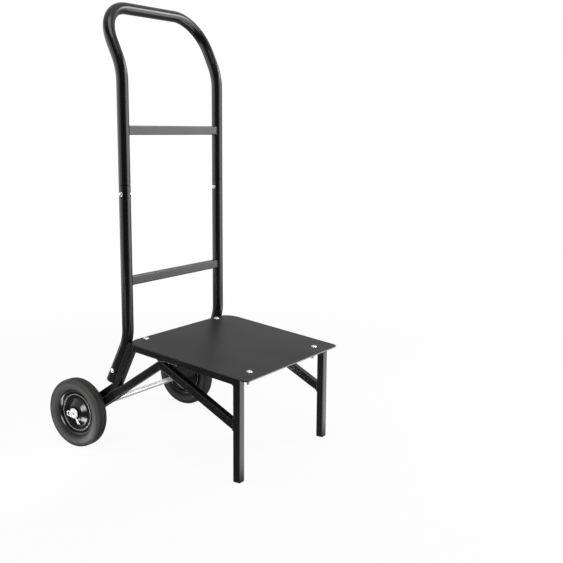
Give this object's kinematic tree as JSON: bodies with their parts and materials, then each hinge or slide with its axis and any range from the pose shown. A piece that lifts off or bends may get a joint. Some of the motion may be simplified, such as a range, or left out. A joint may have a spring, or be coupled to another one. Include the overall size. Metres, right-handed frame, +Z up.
{
  "type": "chair cart",
  "caption": "Two-wheeled hand cart for stacks of chairs: sloping sheet deck on square-tube side frames with front legs, and a tall bent tube handle with crossbars.",
  "frame": {"origin": "on the floor, under the middle of the cart's footprint", "axes": "+X across the cart to its right as seen from the front, +Y from the front edge of the deck to the wheels, +Z up"},
  "size_m": [0.556, 0.6854, 1.25],
  "materials": {
    "frame_coat": "black satin-gloss powder coat on steel tube",
    "deck_coat": "black satin powder coat on sheet steel",
    "rim_paint": "black gloss paint on stamped steel",
    "zinc": "bright zinc plate",
    "tyre": "matt dark grey solid rubber",
    "black_plastic": "moulded black plastic",
    "nylon": "natural nylon"
  },
  "bodies": {
    "frame": {"axle": "zinc", "axle_arm_left": "frame_coat", "axle_arm_right": "frame_coat", "axle_plate_left": "frame_coat", "axle_plate_right": "frame_coat", "axle_spacers": "zinc", "axle_washers": "zinc", "brace_left": "frame_coat", "brace_right": "frame_coat", "cotter_pin_left": "zinc", "cotter_pin_right": "zinc", "crossbar_lower": "frame_coat", "crossbar_upper": "frame_coat", "deck_bolts": "zinc", "deck_nuts": "zinc", "deck_plate": "deck_coat", "deck_washers": "zinc", "foot_glide_left": "black_plastic", "foot_glide_right": "black_plastic", "front_leg_left": "frame_coat", "front_leg_right": "frame_coat", "front_strap": "frame_coat", "handle_bolts": "zinc", "handle_nuts": "zinc", "handle_tube_left": "frame_coat", "handle_tube_right": "frame_coat", "handle_upper": "frame_coat", "rear_post_left": "frame_coat", "rear_post_right": "frame_coat", "rear_strap": "frame_coat", "side_rail_left": "frame_coat", "side_rail_right": "frame_coat", "socket_bolts": "zinc", "socket_left": "frame_coat", "socket_nuts": "zinc", "socket_plugs": "black_plastic", "socket_right": "frame_coat"},
    "wheel_left": {"tyre_left": "tyre", "rim_outer_left": "rim_paint", "rim_inner_left": "rim_paint", "hub_left": "rim_paint", "bushes_left": "nylon"},
    "wheel_right": {"tyre_right": "tyre", "rim_outer_right": "rim_paint", "rim_inner_right": "rim_paint", "hub_right": "rim_paint", "bushes_right": "nylon"}
  },
  "joints": [
    {"name": "left_wheel_spin", "type": "hinge", "parent": "frame", "child": "wheel_left", "pos_m": [-0.249, 0.24275, 0.1], "axis": [1, 0, 0], "continuous": true},
    {"name": "right_wheel_spin", "type": "hinge", "parent": "frame", "child": "wheel_right", "pos_m": [0.249, 0.24275, 0.1], "axis": [1, 0, 0], "continuous": true}
  ]
}
